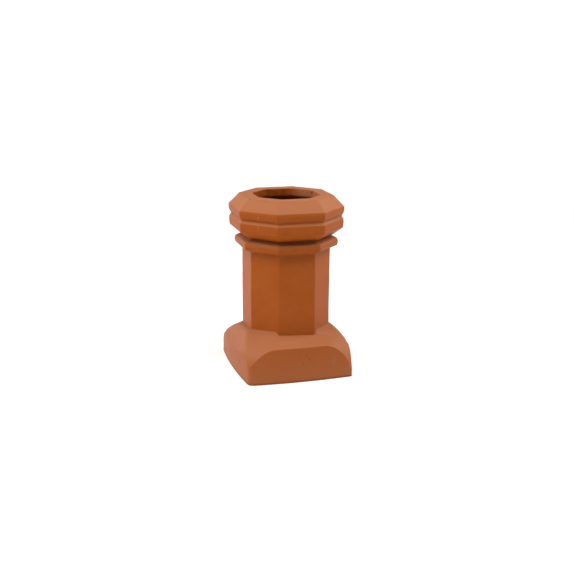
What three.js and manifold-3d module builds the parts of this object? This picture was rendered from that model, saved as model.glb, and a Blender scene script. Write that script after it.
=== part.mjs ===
import * as THREE from "three";
import { mergeVertices } from "three/addons/utils/BufferGeometryUtils.js";
import Module from "manifold-3d";

// An octagonal chimney pot of plain fired clay, pressed as one hollow piece:
// an oblong domed foot, a straight octagonal shaft, a collar and a crown of two bands.
// Millimetres, +Z up, origin at the middle of the underside, front of the foot towards -Y.

// Foot: corner to corner, with sides that bow outwards between the corners
const FOOT_WIDTH = 360;
const FOOT_DEPTH = 396;
const FRONT_BOW = 9;
const SIDE_BOW = 10;
const CORNER_CUT = 7;

// Dome of the foot: height where a slope leaves the shaft, and its bend and end as [distance, height]
const DOME_FRONT = { top: 142, bend: [176, 131], end: [212, 117] };
const DOME_SIDE = { top: 150, bend: [175, 135], end: [193, 62] };

// How steeply the front and back slopes go on up past the shaft's face, so that the hips reach the arrises
const INNER_RISE = 2;

// Hips of the dome, as [distance from the axis, height] towards a corner of the foot
const HIP = { top: 145.5, shoulder: [204, 123], cheek: [259, 89], toe: [266, 17] };

// The hand-finished hips stand a little to the left of the middle
const HIP_SHIFT = -6;

// The hand-finished dome falls a little towards the back: height lost for each unit of depth
const DOME_LEAN = 0.065;

// Octagon: how far its slanting faces stand from the axis, against its square-on faces
const SLANT_RATIO = 1.02;

// Shaft, and the thickness of clay everywhere
const SHAFT_APOTHEM = 138.5;
const SHAFT_TOP = 419;
const WALL = 28;

// Collar, a round-nosed ring, and the neck above it
const COLLAR = { edge: 160, nose: 163, low: 430, high: 454 };
const NECK = { apothem: 140.5, low: 461, high: 464 };

// Crown: a slanting underside, two round-faced bands with a groove between, and a slanting top
const UNDERSIDE = { apothem: 149.5, height: 468 };
const LOWER_BAND = { edge: 178, belly: 180, low: 491, high: 521 };
const GROOVE = { apothem: 173.5, height: 529.5 };
const UPPER_BAND = { edge: 178, belly: 181.5, low: 533.5, high: 563.5 };
const RIM_APOTHEM = 147.5;
const HEIGHT = 600;

// Flue: a lip at the mouth, a wider chamber behind the crown, and the straight shaft
const MOUTH_APOTHEM = 107;
const LIP_DEPTH = 27;
const LIP_TAPER = 1;
const CHAMBER = { apothem: 145.5, low: 500, high: 548 };
const FLUE_START = 40;

const CURVE_STEPS = 8;

// How far a cutting or bounding shape runs past the face it meets, and below the foot
const PAST = 1;
const BELOW = 30;

const wasm = await Module();
wasm.setup();

/** A closed geometry as a solid that can be joined and cut. */
function solidFrom(geometry) {
  const bare = geometry.clone();
  bare.deleteAttribute("normal");
  bare.deleteAttribute("uv");
  const merged = mergeVertices(bare, 1e-4);
  return new wasm.Manifold(
    new wasm.Mesh({
      numProp: 3,
      vertProperties: merged.getAttribute("position").array,
      triVerts: new Uint32Array(merged.index.array),
    }),
  );
}

/** The solid's surface as a flat-shaded geometry. */
function geometryFrom(solid) {
  const { vertProperties, triVerts } = solid.getMesh();
  const shared = new THREE.BufferGeometry();
  shared.setAttribute("position", new THREE.BufferAttribute(vertProperties, 3));
  shared.setIndex(new THREE.BufferAttribute(triVerts, 1));
  const faceted = shared.toNonIndexed();
  faceted.computeVertexNormals();
  return faceted;
}

/** A geometry sheared so that it falls towards the back. */
function leaned(geometry, lean) {
  return geometry.applyMatrix4(new THREE.Matrix4().set(1, 0, 0, 0, 0, 1, 0, 0, 0, -lean, 1, 0, 0, 0, 0, 1));
}

/** A four-sided turning of [apothem, height] points, its sides square-on or turned by 45 degrees. */
function squareTurning(outline, turn, lean = 0) {
  const closed = [[0, outline[0][1]], ...outline, [0, outline.at(-1)[1]]];
  const points = closed.map(([apothem, height]) => new THREE.Vector2(apothem * Math.SQRT2, height));
  const lathe = new THREE.LatheGeometry(points, 4, Math.PI / 4 + turn);
  return solidFrom(leaned(lathe.rotateX(Math.PI / 2), lean));
}

/** An eight-sided solid from [apothem, height] points, listed from the bottom up. */
function octagonTurning(outline) {
  const slanting = outline.map(([apothem, height]) => [apothem * SLANT_RATIO, height]);
  return squareTurning(outline, 0).intersect(squareTurning(slanting, Math.PI / 4));
}

/** Points on a round face that bulges from one [apothem, height] point to another. */
function bulge(start, belly, end) {
  const curve = new THREE.QuadraticBezierCurve(
    new THREE.Vector2(...start),
    new THREE.Vector2(2 * belly - (start[0] + end[0]) / 2, (start[1] + end[1]) / 2),
    new THREE.Vector2(...end),
  );
  return curve.getPoints(CURVE_STEPS / 2).map((point) => [point.x, point.y]);
}

/** A flat shape swept upwards from a level. */
function prism(shape, bottom, top) {
  const options = { depth: top - bottom, bevelEnabled: false, curveSegments: CURVE_STEPS };
  return solidFrom(new THREE.ExtrudeGeometry(shape, options).translate(0, 0, bottom));
}

/** The foot's plan: four sides that bow outwards and meet in cut corners. */
function footPlan(inset) {
  const x = FOOT_WIDTH / 2 - inset;
  const y = FOOT_DEPTH / 2 - inset;
  const cut = CORNER_CUT;
  const plan = new THREE.Shape();
  plan.moveTo(cut - x, -y);
  plan.quadraticCurveTo(0, -y - 2 * FRONT_BOW, x - cut, -y);
  plan.lineTo(x, cut - y);
  plan.quadraticCurveTo(x + 2 * SIDE_BOW, 0, x, y - cut);
  plan.lineTo(x - cut, y);
  plan.quadraticCurveTo(0, y + 2 * FRONT_BOW, cut - x, y);
  plan.lineTo(-x, y - cut);
  plan.quadraticCurveTo(-x - 2 * SIDE_BOW, 0, -x, cut - y);
  plan.closePath();
  return plan;
}

/** A long roof over the foot whose two slopes fall from the shaft to a pair of upright faces. */
function domeRoof({ top, bend, end }, drop, innerRise = 0) {
  const ridge = top - drop;
  const section = new THREE.Shape();
  section.moveTo(0, ridge + innerRise * SHAFT_APOTHEM);
  section.lineTo(SHAFT_APOTHEM, ridge);
  section.quadraticCurveTo(bend[0], bend[1] - drop, end[0], end[1] - drop);
  section.lineTo(end[0], -BELOW);
  section.lineTo(-end[0], -BELOW);
  section.lineTo(-end[0], end[1] - drop);
  section.quadraticCurveTo(-bend[0], bend[1] - drop, -SHAFT_APOTHEM, ridge);
  section.closePath();
  const options = { depth: 2 * FOOT_DEPTH, bevelEnabled: false, curveSegments: CURVE_STEPS };
  return new THREE.ExtrudeGeometry(section, options).translate(0, 0, -FOOT_DEPTH).rotateX(Math.PI / 2);
}

/** The rounded hips over the foot's four corners, moved in and down by an inset. */
function domeHips(inset) {
  const curve = new THREE.CubicBezierCurve(
    new THREE.Vector2(...HIP.toe),
    new THREE.Vector2(...HIP.cheek),
    new THREE.Vector2(...HIP.shoulder),
    new THREE.Vector2(SHAFT_APOTHEM * SLANT_RATIO, HIP.top),
  );
  const outline = curve.getPoints(2 * CURVE_STEPS).map((point) => [point.x - inset, point.y - inset]);
  const hips = squareTurning([[HIP.toe[0] - inset + PAST, -BELOW], ...outline], Math.PI / 4, DOME_LEAN);
  return hips.translate([HIP_SHIFT, 0, 0]);
}

/** The domed foot, or with an inset the hollow inside it. */
function domedFoot(inset, bottom) {
  const front = solidFrom(domeRoof(DOME_FRONT, inset, INNER_RISE).rotateZ(Math.PI / 2));
  const side = solidFrom(leaned(domeRoof(DOME_SIDE, inset), DOME_LEAN));
  return prism(footPlan(inset), bottom, HEIGHT).intersect(front).intersect(side).intersect(domeHips(inset));
}

/** Shaft, collar and crown as one eight-sided turning. */
function upperWork() {
  return octagonTurning([
    [SHAFT_APOTHEM, 0],
    [SHAFT_APOTHEM, SHAFT_TOP],
    ...bulge([COLLAR.edge, COLLAR.low], COLLAR.nose, [COLLAR.edge, COLLAR.high]),
    [NECK.apothem, NECK.low],
    [NECK.apothem, NECK.high],
    [UNDERSIDE.apothem, UNDERSIDE.height],
    ...bulge([LOWER_BAND.edge, LOWER_BAND.low], LOWER_BAND.belly, [LOWER_BAND.edge, LOWER_BAND.high]),
    [GROOVE.apothem, GROOVE.height],
    ...bulge([UPPER_BAND.edge, UPPER_BAND.low], UPPER_BAND.belly, [UPPER_BAND.edge, UPPER_BAND.high]),
    [RIM_APOTHEM, HEIGHT],
  ]);
}

/** The flue from the mouth down to the top of the foot, wider behind the crown. */
function flue() {
  const shaftInside = SHAFT_APOTHEM - WALL;
  return octagonTurning([
    [shaftInside, FLUE_START],
    [shaftInside, NECK.low],
    [CHAMBER.apothem, CHAMBER.low],
    [CHAMBER.apothem, CHAMBER.high],
    [MOUTH_APOTHEM - LIP_TAPER, HEIGHT - LIP_DEPTH],
    [MOUTH_APOTHEM, HEIGHT],
    [MOUTH_APOTHEM, HEIGHT + PAST],
  ]);
}

const body = upperWork().add(domedFoot(0, 0));
const hollow = flue().add(domedFoot(WALL, -PAST));
const pot = body.subtract(hollow);

const terracotta = new THREE.MeshStandardMaterial({ color: 0xa85a32, roughness: 0.86, metalness: 0 });

const chimneyPot = new THREE.Mesh(geometryFrom(pot), terracotta);
chimneyPot.name = "chimney_pot";

const group = new THREE.Group();
group.add(chimneyPot);

export default group;
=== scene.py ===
"""An octagonal chimney pot of unglazed fired clay on a pale floor.

The pot is one moulding, so it is one piece. Each stretch of its surface is a class that gives
stations, and a station says where a point of the clay lies for an angle round the flue. A bmesh
spin lays the stations out as one closed skin, from the mouth down the outside, under the foot and
back up the flue.
"""

import logging
import math
from dataclasses import dataclass, field
from enum import Enum
from typing import Callable, Sequence

import bmesh
import bpy
from mathutils import Matrix, Vector, noise

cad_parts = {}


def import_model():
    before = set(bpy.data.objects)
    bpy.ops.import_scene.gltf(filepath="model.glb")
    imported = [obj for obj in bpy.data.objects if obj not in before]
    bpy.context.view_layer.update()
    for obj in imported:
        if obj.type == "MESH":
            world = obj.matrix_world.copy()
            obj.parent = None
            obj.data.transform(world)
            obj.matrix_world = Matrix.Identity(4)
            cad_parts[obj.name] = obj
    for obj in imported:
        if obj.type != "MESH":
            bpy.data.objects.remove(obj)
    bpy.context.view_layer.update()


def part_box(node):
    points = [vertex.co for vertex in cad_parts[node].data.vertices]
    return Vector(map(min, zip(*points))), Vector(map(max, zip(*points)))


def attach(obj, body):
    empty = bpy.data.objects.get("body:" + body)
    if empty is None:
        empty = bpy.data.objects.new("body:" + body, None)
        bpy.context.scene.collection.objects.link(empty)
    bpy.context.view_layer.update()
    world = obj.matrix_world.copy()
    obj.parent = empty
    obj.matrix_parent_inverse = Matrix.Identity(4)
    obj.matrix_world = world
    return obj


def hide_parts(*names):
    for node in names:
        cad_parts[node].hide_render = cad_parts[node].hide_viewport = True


LOG = logging.getLogger("chimney_pot")
MM = 0.001
FULL_TURN = 2 * math.pi
QUARTER = math.pi / 2
PIECE = "chimney_pot_clay"
NODE = "chimney_pot"

Place = Callable[[float], Vector]

# A corner of a turned profile: distance from the axis to a square-on face, height, rounding radius
Corner = tuple[float, float, float]

# Red, green and blue in linear light, and an alpha of 1
Colour = tuple[float, float, float, float]

# Where something begins and where it is full
Span = tuple[float, float]


class Skin(Enum):
    """The two sides of the clay wall."""

    OUTSIDE = "outside"
    INSIDE = "inside"


@dataclass
class Station:
    """One ring of the pot's skin.

    place gives a point for an angle, soft is how many smoothing passes the ring takes, soft_slant
    is how many it takes on the slanting sides of the octagon, and a firm ring keeps flat on the
    ground.
    """

    place: Place
    soft: int = 0
    soft_slant: int = 0
    firm: bool = False


def blend_low(one: float, other: float, reach: float) -> float:
    """The lower of two values, rounded off where they cross.

    Args:
        one: The first value.
        other: The second value.
        reach: How far apart the values are when the rounding starts.

    Returns:
        The rounded minimum.
    """
    overlap = max(reach - abs(one - other), 0.0) / reach
    return min(one, other) - overlap * overlap * reach / 4


def shares(count: int, crowd: float = 0.0) -> list[float]:
    """Shares from 0 to 1 in even steps, or crowded towards both ends.

    Args:
        count: The number of steps.
        crowd: From 0, even, to 1, fully crowded.

    Returns:
        The shares, both ends included.
    """
    even = [step / count for step in range(count + 1)]
    return [t - crowd * math.sin(FULL_TURN * t) / FULL_TURN for t in even]


@dataclass
class Curve:
    """A Bezier curve of (distance, height) points that gives the height at a distance."""

    handles: Sequence[tuple[float, float]]
    steps: int = 60
    table: list[Vector] = field(default_factory=list)

    def __post_init__(self) -> None:
        """Works the curve out once."""
        for t in shares(self.steps):
            line = [Vector(handle) for handle in self.handles]
            while len(line) > 1:
                line = [start.lerp(end, t) for start, end in zip(line, line[1:])]
            self.table.append(line[0])

    def height(self, distance: float) -> float:
        """Height at a distance, level before the curve's start and held after its end."""
        for near, far in zip(self.table, self.table[1:]):
            if distance <= far.x:
                share = max(distance - near.x, 0.0) / max(far.x - near.x, 1e-9)
                return near.y + (far.y - near.y) * share
        return self.table[-1].y


@dataclass(frozen=True)
class Octagon:
    """The pot's eight-sided section, in which the square-on faces are a little wider."""

    slant_ratio: float = 1.02
    rounding: float = 1.4 * MM

    def radius(self, apothem: float, angle: float, rounding: float | None = None) -> float:
        """Distance from the axis to the section's edge.

        Args:
            apothem: Distance from the axis to a square-on face.
            angle: Angle round the axis, in radians.
            rounding: Softness of the arrises, or None for the usual one.

        Returns:
            The distance along that angle.
        """
        turned = (angle + QUARTER / 2) % QUARTER - QUARTER / 2
        square = apothem / math.cos(turned)
        slant = apothem * self.slant_ratio / math.cos(abs(turned) - QUARTER / 2)
        return blend_low(square, slant, rounding or self.rounding)

    def place(self, apothem: float, height: float, rounding: float | None = None) -> Place:
        """A station's place on the turned part of the pot."""

        def at(angle: float) -> Vector:
            reach = self.radius(apothem, angle, rounding)
            return Vector((reach * math.cos(angle), reach * math.sin(angle), height))

        return at

    def arris_angle(self) -> float:
        """Angle from the middle of a square-on face to its arris."""
        return math.atan(math.sqrt(2) * self.slant_ratio - 1)


@dataclass
class Outline:
    """A turned profile, whose corners are rounded and whose straights are divided."""

    corners: Sequence[Corner]
    step: float = 6 * MM
    arc_steps: int = 4
    most_of_side: float = 0.48

    def fillet(self, before: Vector, corner: Vector, after: Vector, radius: float) -> list[Vector]:
        """The points of one rounded corner.

        Args:
            before: The corner before it.
            corner: The corner itself.
            after: The corner after it.
            radius: The rounding radius.

        Returns:
            The points from the start of the arc to its end.
        """
        arriving = corner - before
        leaving = after - corner
        turn = arriving.angle(leaving)
        if radius <= 0 or turn < 1e-3:
            return [corner]
        most = self.most_of_side * min(arriving.length, leaving.length)
        back = min(radius * math.tan(turn / 2), most)
        start = corner - arriving.normalized() * back
        end = corner + leaving.normalized() * back
        arc = []
        for t in shares(self.arc_steps):
            arc.append(start.lerp(corner, t).lerp(corner.lerp(end, t), t))
        return arc

    def points(self) -> list[tuple[float, float]]:
        """The whole profile.

        Returns:
            The points as (distance to a square-on face, height).
        """
        spots = [Vector((a, z)) for a, z, _ in self.corners]
        line = [spots[0]]
        for index in range(1, len(spots) - 1):
            radius = self.corners[index][2]
            line += self.fillet(spots[index - 1], spots[index], spots[index + 1], radius)
        line.append(spots[-1])
        divided = [line[0]]
        for start, end in zip(line, line[1:]):
            pieces = max(1, math.ceil((end - start).length / self.step))
            divided += [start.lerp(end, t) for t in shares(pieces)[1:]]
        return [(spot.x, spot.y) for spot in divided]


@dataclass
class Crown:
    """Rim, slanting top, two round-faced bands with a groove between, and slanting underside."""

    top: float
    mouth: float = 107 * MM
    mouth_edge: float = 4 * MM
    rim: float = 147.5 * MM
    rim_edge: float = 2.5 * MM
    upper_band: tuple[Corner, ...] = (
        (180.3 * MM, 563.5 * MM, 1.2 * MM),
        (181.3 * MM, 554.5 * MM, 12 * MM),
        (179.7 * MM, 542.5 * MM, 8 * MM),
        (174.5 * MM, 532.5 * MM, 2 * MM),
    )
    groove: Corner = (173.5 * MM, 529.5 * MM, 1 * MM)
    lower_band: tuple[Corner, ...] = (
        (179.2 * MM, 521 * MM, 1.2 * MM),
        (179.7 * MM, 506 * MM, 60 * MM),
        (178 * MM, 491 * MM, 6 * MM),
    )
    underside: Corner = (149.5 * MM, 468 * MM, 3 * MM)

    def mouth_start(self) -> Corner:
        """Where the lip's inner face meets the rounding of the mouth."""
        return (self.mouth, self.top - self.mouth_edge, 0.0)

    def corners(self) -> list[Corner]:
        """The profile from the mouth's edge down to the end of the underside."""
        mouth = (self.mouth, self.top, self.mouth_edge)
        rim = (self.rim, self.top, self.rim_edge)
        return [mouth, rim, *self.upper_band, self.groove, *self.lower_band, self.underside]


@dataclass
class Collar:
    """The neck under the crown, and the round-nosed ring below it."""

    neck: tuple[Corner, ...] = (
        (140.5 * MM, 464 * MM, 1.5 * MM),
        (140.5 * MM, 461 * MM, 1.5 * MM),
    )
    ring: tuple[Corner, ...] = (
        (160 * MM, 454 * MM, 4 * MM),
        (163 * MM, 442 * MM, 12 * MM),
        (160 * MM, 430 * MM, 2.5 * MM),
    )

    def corners(self) -> list[Corner]:
        """The profile from the neck down to the ring's lower edge."""
        return [*self.neck, *self.ring]


@dataclass
class Shaft:
    """The straight octagonal shaft, from the collar down to the dome of the foot."""

    octagon: Octagon
    apothem: float = 138.5 * MM
    top: float = 419 * MM
    head_edge: float = 2.5 * MM
    plain_top: float = 400 * MM
    rings: int = 34
    crowd: float = 0.85
    soft_share: float = 0.93
    softness: tuple[int, int] = (3, 26)

    def corners(self) -> list[Corner]:
        """The profile at the shaft's head."""
        return [(self.apothem, self.top, self.head_edge), (self.apothem, self.plain_top, 0.0)]

    def wall(self, foot: "Foot") -> list[Station]:
        """The rings from the head down to the dome, which follow the dome's height round the shaft.

        Args:
            foot: The foot that the shaft stands on.

        Returns:
            The stations, top first.
        """
        stations = []
        for share in shares(self.rings, self.crowd)[1:]:
            soft = self.softness if share > self.soft_share else (0, 0)
            stations.append(Station(self.between(foot, share), *soft))
        return stations

    def between(self, foot: "Foot", share: float) -> Place:
        """A ring's place, from 0 at the head to 1 on the dome."""

        def at(angle: float) -> Vector:
            spot = self.octagon.place(self.apothem, 0.0)(angle)
            spot.z = self.plain_top + (foot.height(spot, Skin.OUTSIDE) - self.plain_top) * share
            return spot

        return at


@dataclass
class Foot:
    """The oblong foot: four upright bowed faces under a dome of four slopes and four hips.

    lean is how much the dome falls towards the back, inner_rise is how steeply the front slope goes
    on up past the shaft's face, and twist is how much it falls from left to right there. The pairs
    that end in rings are a number of rings and how far they crowd towards both ends. The ends are
    the shares of a stretch up to which and from which its rings are softened.
    """

    octagon: Octagon
    shaft_apothem: float
    width: float = 360 * MM
    depth: float = 396 * MM
    front_bow: float = 9 * MM
    side_bow: float = 10 * MM
    corner: float = 9 * MM
    wall: float = 28 * MM
    lean: float = 0.065
    hip_shift: float = -6 * MM
    toe: float = 266 * MM
    crease: float = 6 * MM
    arch_crease: float = 12 * MM
    inner_rise: float = 2.0
    twist: float = 0.055
    twist_reach: float = 55 * MM
    dome_rings: tuple[int, float] = (40, 0.8)
    face_rings: tuple[int, float] = (26, 0.85)
    sole_rings: tuple[int, float] = (8, 0.5)
    inner_face_rings: tuple[int, float] = (14, 0.6)
    inner_dome_rings: tuple[int, float] = (18, 0.5)
    dome_ends: Span = (0.05, 0.985)
    face_ends: Span = (0.03, 0.98)
    inner_dome_ends: Span = (0.1, 0.9)
    joint_softness: tuple[int, int] = (3, 26)
    edge_softness: int = 2
    inner_softness: int = 3

    def __post_init__(self) -> None:
        """Draws the curves of the front and side slopes and of the hips."""
        start = self.shaft_apothem
        hip_start = start * self.octagon.slant_ratio
        shoulder, cheek = (204 * MM, 123 * MM), (259 * MM, 89 * MM)
        self.front = Curve(((start, 141.5 * MM), (176 * MM, 131 * MM), (212 * MM, 117 * MM)))
        self.side = Curve(((start, 150 * MM), (175 * MM, 135 * MM), (193 * MM, 62 * MM)))
        self.hip = Curve(((hip_start, 145.5 * MM), shoulder, cheek, (self.toe, 17 * MM)))

    def plan_radius(self, angle: float, skin: Skin) -> float:
        """Distance from the axis to the foot's bowed outline.

        Args:
            angle: Angle round the axis, in radians.
            skin: The side of the wall.

        Returns:
            The distance along that angle.
        """
        inset = self.wall if skin is Skin.INSIDE else 0.0
        half_width = self.width / 2 - inset
        half_depth = self.depth / 2 - inset
        across, along = math.cos(angle), math.sin(angle)
        side = self.bowed(half_width, half_depth, self.side_bow, across, along)
        front = self.bowed(half_depth, half_width, self.front_bow, along, across)
        reach = blend_low(side, front, self.corner)
        if skin is Skin.INSIDE:
            return reach
        toe = self.toe * math.sqrt(2) + math.copysign(self.hip_shift, across)
        return blend_low(reach, toe / (abs(across) + abs(along)), self.crease)

    def bowed(
        self, reach: float, half_length: float, bow: float, out: float, along: float
    ) -> float:
        """Where a ray meets one bowed side.

        Args:
            reach: Distance from the axis to the side's ends.
            half_length: Half the side's length.
            bow: How far the side's middle stands out.
            out: The ray's share towards the side.
            along: The ray's share along the side.

        Returns:
            The distance along the ray.
        """
        out = max(abs(out), 1e-6)
        curve = bow * along * along / half_length**2
        if curve < 1e-9:
            return (reach + bow) / out
        return (math.sqrt(out * out + 4 * curve * (reach + bow)) - out) / (2 * curve)

    def height(self, spot: Vector, skin: Skin) -> float:
        """Height of the dome over a point of the plan.

        Args:
            spot: The point, of which x and y count.
            skin: The side of the wall.

        Returns:
            The height.
        """
        inset = self.wall if skin is Skin.INSIDE else 0.0
        fall = self.lean * spot.y
        within = self.shaft_apothem - abs(spot.y)
        twisted = self.twist * spot.x * max(1 - abs(within) / self.twist_reach, 0.0)
        front = self.front.height(abs(spot.y)) + self.inner_rise * max(within, 0.0) - twisted
        side = self.side.height(abs(spot.x)) - fall
        diagonal = (abs(spot.x - self.hip_shift) + abs(spot.y)) / math.sqrt(2)
        hip = self.hip.height(diagonal + inset) - fall
        return blend_low(blend_low(front, hip, self.arch_crease), side, self.crease) - inset

    def outline_at(self, angle: float, skin: Skin) -> Vector:
        """The point of the foot's outline on the ground at an angle."""
        reach = self.plan_radius(angle, skin)
        return Vector((reach * math.cos(angle), reach * math.sin(angle), 0.0))

    def on_dome(self, apothem: float, share: float, skin: Skin) -> Place:
        """A ring on the dome, from 0 at the octagon to 1 at the outline."""

        def at(angle: float) -> Vector:
            spot = self.octagon.place(apothem, 0.0)(angle).lerp(self.outline_at(angle, skin), share)
            spot.z = self.height(spot, skin)
            return spot

        return at

    def on_face(self, share: float, skin: Skin) -> Place:
        """A ring on the upright faces, from 1 at the dome to 0 on the ground."""

        def at(angle: float) -> Vector:
            spot = self.outline_at(angle, skin)
            spot.z = self.height(spot, skin) * share
            return spot

        return at

    def on_sole(self, share: float) -> Place:
        """A ring on the flat underside, from 0 outside to 1 inside."""

        def at(angle: float) -> Vector:
            outer = self.outline_at(angle, Skin.OUTSIDE)
            return outer.lerp(self.outline_at(angle, Skin.INSIDE), share)

        return at

    def stations(self, flue_apothem: float) -> list[Station]:
        """The rings down the outside of the foot, under it and up inside to the flue.

        Args:
            flue_apothem: Distance from the axis to the flue's flats.

        Returns:
            The stations in that order.
        """
        rings = []
        for share in shares(*self.dome_rings)[1:]:
            edge = self.edge_softness if share > self.dome_ends[1] else 0
            soft = self.joint_softness if share < self.dome_ends[0] else (edge, edge)
            rings.append(Station(self.on_dome(self.shaft_apothem, share, Skin.OUTSIDE), *soft))
        for share in shares(*self.face_rings)[1:-1]:
            soft = self.edge_softness if self.near_end(share, self.face_ends) else 0
            rings.append(Station(self.on_face(1 - share, Skin.OUTSIDE), soft, soft))
        for share in shares(*self.sole_rings):
            rings.append(Station(self.on_sole(share), firm=True))
        for share in shares(*self.inner_face_rings)[1:]:
            rings.append(Station(self.on_face(share, Skin.INSIDE)))
        for share in shares(*self.inner_dome_rings)[1:]:
            soft = self.inner_softness if self.near_end(share, self.inner_dome_ends) else 0
            place = self.on_dome(flue_apothem, 1 - share, Skin.INSIDE)
            rings.append(Station(place, soft, soft))
        return rings

    def near_end(self, share: float, ends: Span) -> bool:
        """Whether a share of a stretch lies in its softened ends."""
        return share < ends[0] or share > ends[1]


@dataclass
class Flue:
    """The inside of the shaft, the wider chamber behind the crown and the lip at the mouth."""

    octagon: Octagon
    crown: Crown
    apothem: float = 110.5 * MM
    shaft_end: float = 461 * MM
    chamber: tuple[Corner, Corner] = (
        (145.5 * MM, 500 * MM, 14 * MM),
        (145.5 * MM, 548 * MM, 14 * MM),
    )
    lip: float = 106 * MM
    lip_depth: float = 27 * MM
    lip_edge: float = 9 * MM
    rounding: float = 5 * MM
    mouth_rounding: float = 10 * MM
    rings: int = 22
    crowd: float = 0.4
    step: float = 9 * MM

    def wall(self, foot: Foot) -> list[Station]:
        """The rings from the foot's hollow up to the chamber."""
        return [Station(self.between(foot, share)) for share in shares(self.rings, self.crowd)[1:]]

    def between(self, foot: Foot, share: float) -> Place:
        """A ring's place, from 0 at the foot's hollow to 1 at the chamber."""

        def at(angle: float) -> Vector:
            spot = self.octagon.place(self.apothem, 0.0, self.rounding)(angle)
            start = foot.height(spot, Skin.INSIDE)
            spot.z = start + (self.shaft_end - start) * share
            return spot

        return at

    def stations(self) -> list[Station]:
        """The rings from the chamber's foot up to the lip's edge."""
        start = (self.apothem, self.shaft_end, 0.0)
        lip = (self.lip, self.crown.top - self.lip_depth, self.lip_edge)
        corners = [start, *self.chamber, lip, self.crown.mouth_start()]
        places = Outline(corners, step=self.step).points()[1:-1]
        return [Station(self.octagon.place(a, z, self.rounding_at(z))) for a, z in places]

    def rounding_at(self, height: float) -> float:
        """Softness of the arrises, greater towards the mouth."""
        high = self.chamber[-1][1]
        share = max(height - high, 0.0) / (self.crown.top - high)
        return self.rounding + (self.mouth_rounding - self.rounding) * share


@dataclass(frozen=True)
class HandFinish:
    """The unevenness of hand-pressed clay, as slow swells and smaller dents along the surface."""

    swell: float = 0.9 * MM
    swell_length: float = 0.11
    dent: float = 0.28 * MM
    dent_length: float = 0.022
    dent_shift: tuple[float, float, float] = (7.0, 3.0, 1.0)

    def offset(self, spot: Vector) -> float:
        """How far a point of the skin is pushed along its normal."""
        slow = noise.noise(spot / self.swell_length)
        quick = noise.noise(spot / self.dent_length + Vector(self.dent_shift))
        return self.swell * slow + self.dent * quick


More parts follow.
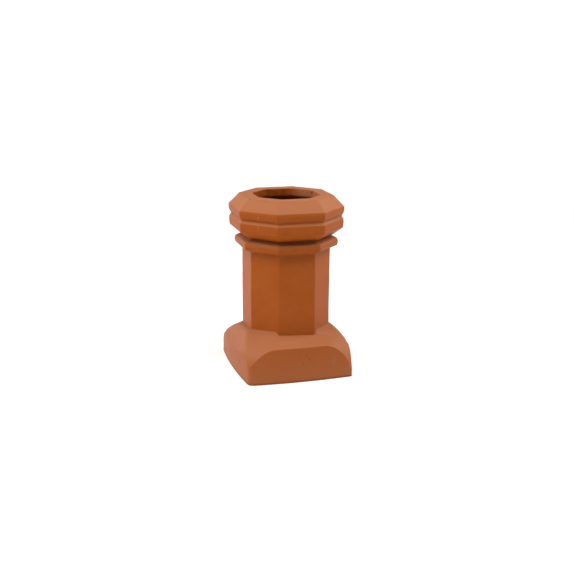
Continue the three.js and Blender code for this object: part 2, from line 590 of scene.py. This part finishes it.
@dataclass
class ChimneyPot:
    """The whole moulding."""

    low: Vector
    high: Vector
    finish: HandFinish = field(default_factory=HandFinish)
    mouth_margin: float = 6 * MM
    face_steps: int = 20
    corner_steps: int = 11
    crowd: float = 0.75

    def __post_init__(self) -> None:
        """Makes the sub-assemblies from the frame's height."""
        self.octagon = Octagon()
        self.crown = Crown(top=self.high.z)
        self.collar = Collar()
        self.shaft = Shaft(self.octagon)
        self.foot = Foot(self.octagon, self.shaft.apothem)
        self.flue = Flue(self.octagon, self.crown)

    def stations(self) -> list[Station]:
        """All the rings in order round the skin.

        Returns:
            The stations, from the mouth down the outside and up the inside.
        """
        corners = [self.crown.mouth_start(), *self.crown.corners()]
        corners += [*self.collar.corners(), *self.shaft.corners()]
        turned = [self.turned(a, z) for a, z in Outline(corners).points()]
        rings = turned + self.shaft.wall(self.foot) + self.foot.stations(self.flue.apothem)
        return rings + self.flue.wall(self.foot) + self.flue.stations()

    def turned(self, apothem: float, height: float) -> Station:
        """A ring on the turned outside, with softer arrises round the mouth."""
        near_mouth = apothem < self.crown.mouth + self.mouth_margin
        softer = self.flue.mouth_rounding if near_mouth else None
        return Station(self.octagon.place(apothem, height, softer))

    def angles(self) -> list[float]:
        """The angles round the axis, crowded towards the arrises and the foot's corners.

        Returns:
            One angle for each step of the spin.
        """
        arris = self.octagon.arris_angle()
        corner = math.atan2(self.foot.depth, self.foot.width)
        quarter_keys = [-arris, arris, corner, QUARTER - arris]
        mirrored = [-arris, arris, QUARTER - corner, QUARTER - arris]
        counts = [self.face_steps, self.corner_steps, self.corner_steps]
        found = []
        for turn in range(4):
            keys = quarter_keys if turn % 2 == 0 else mirrored
            for start, end, count in zip(keys, keys[1:], counts):
                begin = turn * QUARTER + start
                found += [begin + (end - start) * t for t in shares(count, self.crowd)[:-1]]
        return found

    def mesh(self) -> bpy.types.Mesh:
        """Spins the stations into one closed skin and settles each point in its place.

        Returns:
            The finished mesh.
        """
        rings = self.stations()
        angles = self.angles()
        bm = bmesh.new()
        ring_of = bm.verts.layers.int.new("ring")
        line = []
        for index, ring in enumerate(rings):
            vert = bm.verts.new(ring.place(0.0))
            vert[ring_of] = index
            line.append(vert)
        edges = [bm.edges.new(pair) for pair in zip(line, line[1:] + line[:1])]
        bmesh.ops.spin(
            bm,
            geom=line + edges,
            cent=(0, 0, 0),
            axis=(0, 0, 1),
            angle=FULL_TURN,
            steps=len(angles),
            use_merge=True,
            use_duplicate=False,
        )
        step = FULL_TURN / len(angles)
        lines = [self.softened(rings, angle) for angle in angles]
        for vert in bm.verts:
            turn = round(math.atan2(vert.co.y, vert.co.x) / step) % len(angles)
            vert.co = lines[turn][vert[ring_of]]
        bmesh.ops.recalc_face_normals(bm, faces=bm.faces)
        bm.normal_update()
        self.press(bm, rings, ring_of)
        for face in bm.faces:
            face.smooth = True
        mesh = bpy.data.meshes.new(PIECE)
        bm.to_mesh(mesh)
        bm.free()
        return mesh

    def softened(self, rings: list[Station], angle: float) -> list[Vector]:
        """One line of the skin, rounded where the stations ask for it.

        Args:
            rings: The stations.
            angle: The line's angle round the axis.

        Returns:
            The line's points, one for each station.
        """
        turned = (angle + QUARTER / 2) % QUARTER - QUARTER / 2
        slanting = abs(turned) > self.octagon.arris_angle()
        passes = [ring.soft_slant if slanting else ring.soft for ring in rings]
        line = [ring.place(angle) for ring in rings]
        for done in range(max(passes)):
            before = list(line)
            for index, wanted in enumerate(passes):
                if wanted > done:
                    around = before[index - 1].lerp(before[(index + 1) % len(line)], 0.5)
                    line[index] = before[index].lerp(around, 0.5)
        return line

    def press(self, bm: bmesh.types.BMesh, rings: list[Station], ring_of: object) -> None:
        """Gives the skin its hand-pressed unevenness, within the frame's box.

        Args:
            bm: The mesh.
            rings: The stations.
            ring_of: The layer that holds each vertex's station.
        """
        for vert in bm.verts:
            if rings[vert[ring_of]].firm:
                continue
            spot = vert.co + vert.normal * self.finish.offset(vert.co)
            for axis in range(3):
                spot[axis] = min(max(spot[axis], self.low[axis]), self.high[axis])
            vert.co = spot


class Wire:
    """A shader socket that takes part in Python expressions."""

    def __init__(self, bench: "Bench", socket: bpy.types.NodeSocket) -> None:
        """Keeps the socket and the bench that makes its nodes."""
        self.bench = bench
        self.socket = socket

    def maths(self, operation: str, *values: "Wire | float") -> "Wire":
        """One Math node on this wire and others."""
        return self.bench.node("ShaderNodeMath", {"operation": operation}, dict(enumerate(values)))

    def __add__(self, other: "Wire | float") -> "Wire":
        """Sum."""
        return self.maths("ADD", self, other)

    def __radd__(self, other: float) -> "Wire":
        """Sum with a number on the left."""
        return self.maths("ADD", other, self)

    def __sub__(self, other: "Wire | float") -> "Wire":
        """Difference."""
        return self.maths("SUBTRACT", self, other)

    def __rsub__(self, other: float) -> "Wire":
        """Difference from a number."""
        return self.maths("SUBTRACT", other, self)

    def __mul__(self, other: "Wire | float") -> "Wire":
        """Product."""
        return self.maths("MULTIPLY", self, other)

    def __rmul__(self, other: float) -> "Wire":
        """Product with a number on the left."""
        return self.maths("MULTIPLY", other, self)

    def __truediv__(self, other: "Wire | float") -> "Wire":
        """Quotient."""
        return self.maths("DIVIDE", self, other)

    def __rtruediv__(self, other: float) -> "Wire":
        """Quotient of a number."""
        return self.maths("DIVIDE", other, self)

    def highest(self, other: "Wire | float") -> "Wire":
        """The higher of two values."""
        return self.maths("MAXIMUM", self, other)

    def clamped(self) -> "Wire":
        """The value held between 0 and 1."""
        return self.maths("MINIMUM", self.highest(0.0), 1.0)

    def ramped(self, low: float, high: float) -> "Wire":
        """The value spread from 0 at low to 1 at high."""
        return ((self - low) / (high - low)).clamped()

    def vector(self, operation: str, other: "Wire | tuple[float, float, float]") -> "Wire":
        """One Vector Math node on this vector and another."""
        inputs = {0: self, 1: other}
        return self.bench.node("ShaderNodeVectorMath", {"operation": operation}, inputs)

    def length(self) -> "Wire":
        """The length of the vector."""
        settings = {"operation": "LENGTH"}
        return self.bench.node("ShaderNodeVectorMath", settings, {0: self}, output="Value")

    def axis(self, name: str) -> "Wire":
        """One coordinate of the vector."""
        return self.bench.node("ShaderNodeSeparateXYZ", None, {0: self}, output=name)


class Bench:
    """Makes a material's nodes."""

    def __init__(self, material: bpy.types.Material) -> None:
        """Clears the material's tree."""
        material.use_nodes = True
        self.tree = material.node_tree
        self.tree.nodes.clear()

    def node(
        self,
        kind: str,
        settings: dict[str, object] | None = None,
        inputs: dict[object, object] | None = None,
        output: str | int = 0,
    ) -> Wire:
        """Makes one node.

        Args:
            kind: The node's type.
            settings: Properties set before the inputs.
            inputs: Values or wires for its sockets, by name or number.
            output: The socket that the returned wire holds.

        Returns:
            A wire on that output.
        """
        made = self.tree.nodes.new(kind)
        for name, value in (settings or {}).items():
            setattr(made, name, value)
        for name, value in (inputs or {}).items():
            if isinstance(value, Wire):
                self.tree.links.new(value.socket, made.inputs[name])
            else:
                made.inputs[name].default_value = value
        return Wire(self, made.outputs[output] if made.outputs else made.inputs[0])

    def mix(self, factor: "Wire | float", one: object, other: object) -> Wire:
        """Mixes two colours by a factor."""
        settings = {"data_type": "RGBA"}
        return self.node("ShaderNodeMix", settings, {0: factor, 6: one, 7: other}, output=2)


@dataclass(frozen=True)
class ShadeBand:
    """A stretch of the pot darkened by painted shade, in a groove, under the collar or at the foot.

    heights are where the painted shade starts, is full, fades and ends, reach is how far from the
    axis it goes, and depth is how much of the clay's colour it hides.
    """

    heights: tuple[float, float, float, float]
    reach: float
    depth: float


@dataclass(frozen=True)
class Mark:
    """A small dark nick in the clay, or a pale spot where the surface is rubbed."""

    place: tuple[float, float, float]
    size: tuple[float, float, float]
    depth: float
    rubbed: bool = False


@dataclass(frozen=True)
class Grain:
    """A noise in the clay: its scale per metre, its detail and the span of values that shows."""

    scale: float
    detail: float
    span: Span = (0.0, 1.0)
    harshness: float = 0.55

    def value(self, bench: Bench, where: Wire) -> Wire:
        """The noise itself, about 0.5 on average."""
        inputs = {"Vector": where, "Scale": self.scale, "Detail": self.detail}
        inputs["Roughness"] = self.harshness
        return bench.node("ShaderNodeTexNoise", None, inputs)

    def share(self, bench: Bench, where: Wire) -> Wire:
        """The noise spread over its span, from 0 to 1."""
        return self.value(bench, where).ramped(*self.span)


@dataclass(frozen=True)
class Terracotta:
    """Unglazed fired clay: orange-red, faintly mottled, with fine grit, pits, pale dust with
    painted sheen, and painted light and shade.

    The inside of the flue is darkened by painted shade: its strength, its share low in the flue,
    what it gains towards the mouth, what the patches add to that gain, and the heights over which
    it gets thick are set below. A stretch from left to right across the flue's inside is painted
    lit instead, kept clear of that shade and paled. The relief is what grit and lumps raise and
    pits lower, and uneven_roughness is what the grit and the pits add to the roughness.
    """

    body: Colour = (0.285, 0.0605, 0.0052, 1.0)
    pale: Colour = (0.300, 0.0680, 0.0080, 1.0)
    deep: Colour = (0.256, 0.0510, 0.0038, 1.0)
    pit: Colour = (0.11, 0.027, 0.008, 1.0)
    # Pale colour of the dust and painted sheen on upward faces, the paler foot, the painted light
    # inside the flue and the rubbed spots.
    bloom_and_light: Colour = (0.318, 0.109, 0.043, 1.0)
    # Colour of the painted shade in the flue, the grooves, under the collar and along the foot's
    # bottom edge.
    painted_dark: Colour = (0.120, 0.022, 0.001, 1.0)
    mottle: Grain = Grain(9.0, 4.0, (0.35, 0.68))
    patches: Grain = Grain(38.0, 5.0, (0.42, 0.72))
    patch_share: float = 0.45
    grit: Grain = Grain(620.0, 3.0, (0.35, 0.75))
    grit_share: float = 0.22
    lumps: Grain = Grain(210.0, 4.0)
    ragged: Grain = Grain(260.0, 3.0)
    raggedness: float = 0.8
    mark_edge: Span = (0.45, 1.0)
    pit_scale: float = 150.0
    pit_size: Span = (0.06, 0.13)
    pit_places: Grain = Grain(55.0, 1.0, (0.60, 0.66))
    pit_share: float = 0.7
    # Upward faces paled, partly as dust and partly as painted sheen: the slopes over which it
    # grows.
    dust_and_sheen_slopes: Span = (0.05, 0.65)
    # Paler towards the bottom of the pot: the heights over which it fades, and its share.
    paler_heights: Span = (0.0, 0.16)
    paler_share: float = 0.65
    flue_reach: float = 0.121
    flue_edge: float = 0.006
    # Painted shade inside the flue, patchy like soot: its strength, shares and heights.
    flue_shade: float = 0.62
    flue_shade_amounts: tuple[float, float, float] = (0.3, 0.25, 0.9)
    flue_shade_heights: Span = (0.560, 0.575)
    # Painted light on the right of the flue's inside: where it starts and is full, and how much it
    # pales.
    lit_side: Span = (0.030, 0.075)
    lit_side_paling: float = 0.9
    shade_edge: float = 0.016
    roughness: float = 0.46
    uneven_roughness: tuple[float, float] = (0.2, 0.1)
    specular: float = 0.086
    relief: tuple[float, float, float] = (0.35, 0.5, 0.9)
    bump: float = 0.35
    bump_height: float = 0.6 * MM
    # Painted shade in the grooves, a painted shadow under the collar, painted shade along the
    # foot's bottom edge, and faint painted shade over the collar and the bands.
    shade_bands: tuple[ShadeBand, ...] = (
        # Painted shade in the neck's groove.
        ShadeBand((0.457, 0.463, 0.468, 0.478), 0.172, 0.75),
        # Painted shadow of the collar on the shaft.
        ShadeBand((0.375, 0.418, 0.419, 0.421), 0.160, 0.30),
        # Painted shade in the groove under the upper band.
        ShadeBand((0.529, 0.531, 0.535, 0.543), 0.200, 0.35),
        # Painted shade along the foot's bottom edge.
        ShadeBand((-0.020, -0.010, 0.003, 0.009), 0.400, 0.55),
        # Faint painted shade over the collar.
        ShadeBand((0.424, 0.430, 0.452, 0.458), 0.200, 0.13),
        # Faint painted shade over the bands.
        ShadeBand((0.484, 0.490, 0.558, 0.563), 0.260, 0.10),
    )
    marks: tuple[Mark, ...] = (
        Mark((-0.187, -0.096, 0.055), (0.006, 0.006, 0.005), 0.90),
        Mark((-0.186, -0.104, 0.050), (0.004, 0.005, 0.004), 0.60),
        Mark((-0.184, -0.115, 0.003), (0.006, 0.009, 0.006), 0.75),
        Mark((0.023, -0.2045, 0.078), (0.005, 0.005, 0.005), 0.45),
        Mark((0.003, -0.2045, 0.063), (0.005, 0.005, 0.004), 0.45),
        Mark((0.012, -0.2045, 0.090), (0.004, 0.005, 0.004), 0.40),
        Mark((0.106, 0.046, 0.590), (0.008, 0.008, 0.007), 0.75),
        Mark((-0.131, -0.129, 0.530), (0.004, 0.006, 0.034), 0.45, rubbed=True),
        Mark((0.111, -0.204, 0.063), (0.008, 0.006, 0.030), 0.35, rubbed=True),
        Mark((0.159, -0.199, 0.028), (0.014, 0.008, 0.014), 0.50, rubbed=True),
    )

    def pitted(self, bench: Bench, where: Wire) -> Wire:
        """Where the small round pits are, from 0 to 1."""
        inputs = {"Vector": where, "Scale": self.pit_scale}
        cells = bench.node("ShaderNodeTexVoronoi", None, inputs)
        return (1 - cells.ramped(*self.pit_size)) * self.pit_places.share(bench, where)

    def shaded(self, reach: Wire, height: Wire, painted_dark: Wire) -> Wire:
        """Where shade is painted: inside the flue and in the darkened stretches.

        Args:
            reach: The distance from the axis.
            height: The height on the pot.
            painted_dark: The painted shade inside the flue.

        Returns:
            A share from 0 to 1.
        """
        # Painted shade: the darker of the flue's painted shade and each darkened stretch.
        shade = painted_dark
        for shade_band in self.shade_bands:
            start, full, fade, end = shade_band.heights
            window = height.ramped(start, full) * (1 - height.ramped(fade, end))
            near = 1 - reach.ramped(shade_band.reach - self.shade_edge, shade_band.reach)
            shade = shade.highest(window * near * shade_band.depth)
        return shade

    def marked(self, where: Wire, uneven: Wire, rubbed: bool) -> Wire:
        """Where the nicks or the rubbed spots are.

        Args:
            where: The place on the pot.
            uneven: A fine noise that breaks up the marks' edges.
            rubbed: Whether to give the rubbed spots in place of the nicks.

        Returns:
            A share from 0 to 1.
        """
        found = uneven * 0.0
        for mark in self.marks:
            if mark.rubbed is not rubbed:
                continue
            far = where.vector("SUBTRACT", mark.place).vector("DIVIDE", mark.size).length()
            spot = 1 - (far + (uneven - 0.5) * self.raggedness).ramped(*self.mark_edge)
            found = found.highest(spot * mark.depth)
        return found

    def fired(self, bench: Bench, where: Wire, patch: Wire, grain: Wire) -> Wire:
        """The colour of the clean clay, mottled, patched and gritty.

        Args:
            bench: The material's bench.
            where: The place on the pot.
            patch: The share of the deeper patches.
            grain: The grit's noise.

        Returns:
            The colour.
        """
        colour = bench.mix(self.mottle.share(bench, where), self.body, self.pale)
        colour = bench.mix(patch * self.patch_share, colour, self.deep)
        return bench.mix(grain.ramped(*self.grit.span) * self.grit_share, colour, self.pale)

    def weathered_and_shaded(self, bench: Bench, where: Wire, patch: Wire, clean: Wire) -> Wire:
        """The clay's colour under its pale dust and painted sheen, its painted light and its
        painted shade.

        Args:
            bench: The material's bench.
            where: The place on the pot.
            patch: The share of the patches in which the painted shade in the flue is thicker.
            clean: The colour of the clean clay.

        Returns:
            The colour.
        """
        facing = bench.node("ShaderNodeTexCoord", output="Normal")
        # Upward faces paled: partly dust, partly painted sheen.
        dust_and_sheen = facing.axis("Z").ramped(*self.dust_and_sheen_slopes)
        height = where.axis("Z")
        # Paler towards the bottom of the pot.
        paler_low = (1 - height.ramped(*self.paler_heights)) * self.paler_share
        reach = where.vector("MULTIPLY", (1, 1, 0)).length()
        inside = 1 - reach.ramped(self.flue_reach, self.flue_reach + self.flue_edge)
        # Painted light: the right of the flue's inside is kept clear of the painted shade and
        # paled.
        lit_side = where.axis("X").ramped(*self.lit_side)
        low, gain, patchy = self.flue_shade_amounts
        thick = low + height.ramped(*self.flue_shade_heights) * (gain + patch * patchy)
        # Painted shade inside the flue, thicker towards the mouth and in patches, left off the
        # painted-lit side.
        painted_dark = inside * (1 - dust_and_sheen) * (1 - lit_side) * thick * self.flue_shade
        pale_and_lit = dust_and_sheen.highest(paler_low).highest(inside * lit_side * self.lit_side_paling)
        colour = bench.mix(pale_and_lit, clean, self.bloom_and_light)
        # Painted shade in the flue, the grooves, under the collar, along the foot's bottom edge and
        # faintly over the collar and bands.
        return bench.mix(self.shaded(reach, height, painted_dark), colour, self.painted_dark)

    def worn(self, bench: Bench, where: Wire, pits: Wire, whole: Wire) -> Wire:
        """The clay's colour with its rubbed spots, nicks and pits.

        Args:
            bench: The material's bench.
            where: The place on the pot.
            pits: Where the pits are.
            whole: The colour of the unworn clay.

        Returns:
            The colour.
        """
        uneven = self.ragged.value(bench, where)
        nicks = self.marked(where, uneven, rubbed=False)
        colour = bench.mix(self.marked(where, uneven, rubbed=True), whole, self.bloom_and_light)
        return bench.mix(nicks.highest(pits * self.pit_share), colour, self.pit)

    def material(self) -> bpy.types.Material:
        """Builds the clay's material.

        Returns:
            The material.
        """
        clay = bpy.data.materials.new("fired_clay")
        bench = Bench(clay)
        where = bench.node("ShaderNodeTexCoord", output="Object")
        patch = self.patches.share(bench, where)
        grain = self.grit.value(bench, where)
        pits = self.pitted(bench, where)
        colour = self.fired(bench, where, patch, grain)
        colour = self.weathered_and_shaded(bench, where, patch, colour)
        colour = self.worn(bench, where, pits, colour)
        gritty, pitted = self.uneven_roughness
        rough = self.roughness + (grain - 0.5) * gritty + pits * pitted
        fine, coarse, sunk = self.relief
        relief = grain * fine + self.lumps.value(bench, where) * coarse - pits * sunk
        inputs = {"Strength": self.bump, "Distance": self.bump_height, "Height": relief}
        looks = {
            "Base Color": colour,
            "Roughness": rough,
            "Normal": bench.node("ShaderNodeBump", None, inputs),
            "Specular IOR Level": self.specular,
        }
        shader = bench.node("ShaderNodeBsdfPrincipled", None, looks)
        bench.node("ShaderNodeOutputMaterial", None, {"Surface": shader})
        return clay


def standing(azimuth: float, reach: float, height: float) -> Vector:
    """A spot round the pot.

    Args:
        azimuth: Degrees from the front, to the right.
        reach: Distance from the axis.
        height: Height above the floor.

    Returns:
        The spot.
    """
    around = math.radians(azimuth)
    return Vector((math.sin(around) * reach, -math.cos(around) * reach, height))


@dataclass(frozen=True)
class Softbox:
    """One square soft light that looks at the pot's middle, with its power in watts."""

    name: str
    azimuth: float
    height: float
    reach: float
    side: float
    power: float
    aim: tuple[float, float, float] = (0.0, 0.0, 0.3)

    def hang(self) -> None:
        """Makes the light and hangs it in its place."""
        data = bpy.data.lights.new(self.name, "AREA")
        data.shape = "SQUARE"
        data.size = self.side
        data.energy = self.power
        light = bpy.data.objects.new(self.name, data)
        stand = standing(self.azimuth, self.reach, self.height)
        turn = (Vector(self.aim) - stand).to_track_quat("-Z", "Y").to_matrix().to_4x4()
        light.matrix_world = Matrix.Translation(stand) @ turn
        bpy.context.scene.collection.objects.link(light)


@dataclass(frozen=True)
class Studio:
    """The pale floor and wall, the soft lights round the pot and the camera.

    The glows are how strongly the white paint shines beside the pot and at the far end of
    glow_reach. Angles are in degrees and the focal length is in pixels of the frame's width.
    """

    frame_width: int = 574
    focal_pixels: float = 962.9
    sensor: float = 36.0
    camera_height: float = 1.1401
    camera_distance: float = 3.2136
    azimuth: float = -16.14
    pan: float = -0.09
    pitch: float = 15.08
    roll: float = 0.38
    room: float = 12.0
    room_sides: int = 96
    wall_height: float = 3.0
    wall_foot: float = -0.01
    surroundings: float = 0.02
    white: Colour = (1.0, 1.0, 1.0, 1.0)
    black: Colour = (0.0, 0.0, 0.0, 1.0)
    paint_colour: Colour = (0.8, 0.8, 0.8, 1.0)
    paint_roughness: float = 0.9
    paint_specular: float = 0.1
    paint_strength: float = 1.14
    floor_glow: tuple[float, float] = (0.2, 0.92)
    wall_glow: tuple[float, float] = (0.5, 0.5)
    glow_reach: Span = (0.5, 5.0)
    lights: tuple[Softbox, ...] = (
        Softbox("left_light", azimuth=-118, height=1.3, reach=2.4, side=1.8, power=42),
        Softbox("high_left_light", azimuth=-90, height=2.2, reach=1.8, side=1.0, power=11),
        Softbox("front_left_light", azimuth=-50, height=2.4, reach=1.7, side=1.0, power=26),
        Softbox("front_right_light", azimuth=50, height=2.4, reach=1.7, side=1.0, power=20.5),
        Softbox("high_right_light", azimuth=90, height=1.7, reach=2.0, side=1.0, power=36),
        Softbox("top_light", azimuth=-16, height=2.9, reach=0.75, side=0.8, power=26),
    )

    def camera(self) -> bpy.types.Object:
        """Sets up the camera at the photograph's viewing angle."""
        data = bpy.data.cameras.new("camera")
        data.sensor_width = self.sensor
        data.lens = self.focal_pixels / self.frame_width * self.sensor
        camera = bpy.data.objects.new("camera", data)
        turn = Matrix.Rotation(math.radians(self.azimuth + self.pan), 4, "Z")
        tilt = Matrix.Rotation(math.radians(90 - self.pitch), 4, "X")
        roll = Matrix.Rotation(math.radians(self.roll), 4, "Z")
        stand = standing(self.azimuth, self.camera_distance, self.camera_height)
        camera.matrix_world = Matrix.Translation(stand) @ turn @ tilt @ roll
        bpy.context.scene.collection.objects.link(camera)
        bpy.context.scene.camera = camera
        return camera

    def sky(self) -> None:
        """Sets the dim even surroundings."""
        world = bpy.data.worlds.new("surroundings")
        world.use_nodes = True
        background = world.node_tree.nodes["Background"]
        background.inputs["Color"].default_value = self.white
        background.inputs["Strength"].default_value = self.surroundings
        bpy.context.scene.world = world

    def paint(self, name: str, near: float, far: float) -> bpy.types.Material:
        """White paint whose glow changes with distance from the pot.

        Args:
            name: The material's name.
            near: The glow beside the pot.
            far: The glow at the far end of the reach.

        Returns:
            The material.
        """
        paint = bpy.data.materials.new(name)
        bench = Bench(paint)
        reach = bench.node("ShaderNodeTexCoord", output="Object").length()
        glow = near + reach.ramped(*self.glow_reach) * (far - near)
        looks = {
            "Base Color": self.paint_colour,
            "Roughness": self.paint_roughness,
            "Specular IOR Level": self.paint_specular,
            "Emission Color": bench.mix(glow, self.black, self.white),
            "Emission Strength": self.paint_strength,
        }
        shader = bench.node("ShaderNodeBsdfPrincipled", None, looks)
        bench.node("ShaderNodeOutputMaterial", None, {"Surface": shader})
        return paint

    def sweep(self) -> None:
        """Lays the round floor and the round wall."""
        sides = self.room_sides
        floor = bmesh.new()
        bmesh.ops.create_circle(floor, cap_ends=True, segments=sides, radius=self.room)
        wall = bmesh.new()
        foot = wall.verts.new((self.room, 0, self.wall_foot))
        head = wall.verts.new((self.room, 0, self.wall_height))
        edge = wall.edges.new((foot, head))
        line = [foot, head, edge]
        bmesh.ops.spin(wall, geom=line, axis=(0, 0, 1), angle=FULL_TURN, steps=sides)
        for name, bm, glow in (("floor", floor, self.floor_glow), ("wall", wall, self.wall_glow)):
            mesh = bpy.data.meshes.new(name)
            bm.to_mesh(mesh)
            bm.free()
            mesh.materials.append(self.paint(f"{name}_white", *glow))
            thing = bpy.data.objects.new(name, mesh)
            bpy.context.scene.collection.objects.link(thing)

    def build(self) -> None:
        """Sets up floor, lights, camera and plain colours."""
        self.sweep()
        for softbox in self.lights:
            softbox.hang()
        self.sky()
        self.camera()
        bpy.context.scene.view_settings.view_transform = "Standard"


def main() -> None:
    """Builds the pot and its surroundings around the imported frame."""
    logging.basicConfig(level=logging.INFO, format="%(name)s: %(message)s")
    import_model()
    low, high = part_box(NODE)
    mesh = ChimneyPot(low, high).mesh()
    pot = bpy.data.objects.new(PIECE, mesh)
    mesh.materials.append(Terracotta().material())
    bpy.context.scene.collection.objects.link(pot)
    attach(pot, "root")
    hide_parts(NODE)
    LOG.info("%s: %d vertices, %d faces", PIECE, len(mesh.vertices), len(mesh.polygons))
    Studio().build()


if __name__ == "__main__":
    main()
